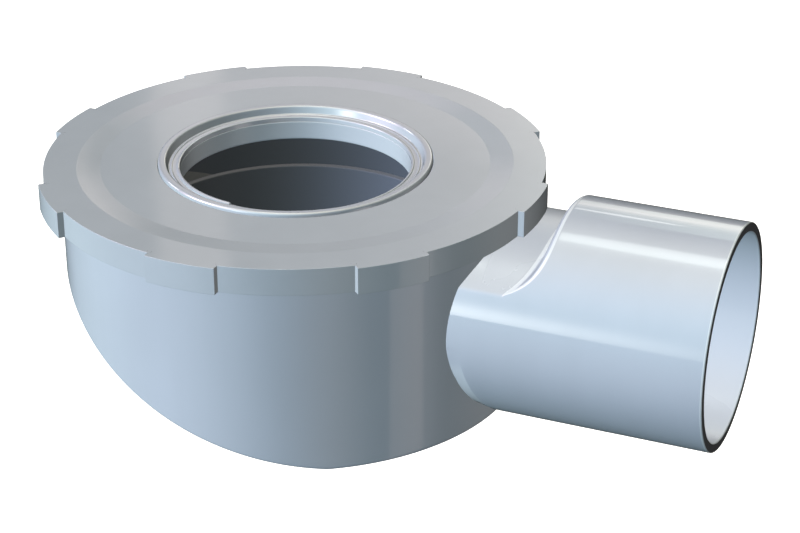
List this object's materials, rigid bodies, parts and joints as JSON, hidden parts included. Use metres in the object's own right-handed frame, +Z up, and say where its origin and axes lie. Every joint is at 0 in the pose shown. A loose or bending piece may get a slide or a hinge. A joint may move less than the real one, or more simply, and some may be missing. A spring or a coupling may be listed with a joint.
{
  "type": "linear drain trap",
  "caption": "Round water trap of a linear shower drain with a lugged cover plate, an inlet seal ring, an overflow weir inside and a horizontal outlet spigot.",
  "frame": {"origin": "centre of the inlet bore's mouth, 1.7 mm below the cover's top face", "axes": "+Z up along the inlet axis, +X along the outlet spigot"},
  "size_m": [0.159, 0.1146, 0.0505],
  "materials": {
    "housing_plastic": "glossy moulded plastic, light grey-blue",
    "cover_plastic": "glossy moulded plastic, light grey",
    "seal_rubber": "smooth moulded rubber, light grey-blue",
    "gasket_rubber": "smooth moulded rubber, dark grey"
  },
  "bodies": {
    "root": {"trap_housing": "housing_plastic", "flange_cover": "cover_plastic", "inlet_seal": "seal_rubber", "cover_gasket": "gasket_rubber"}
  },
  "joints": []
}
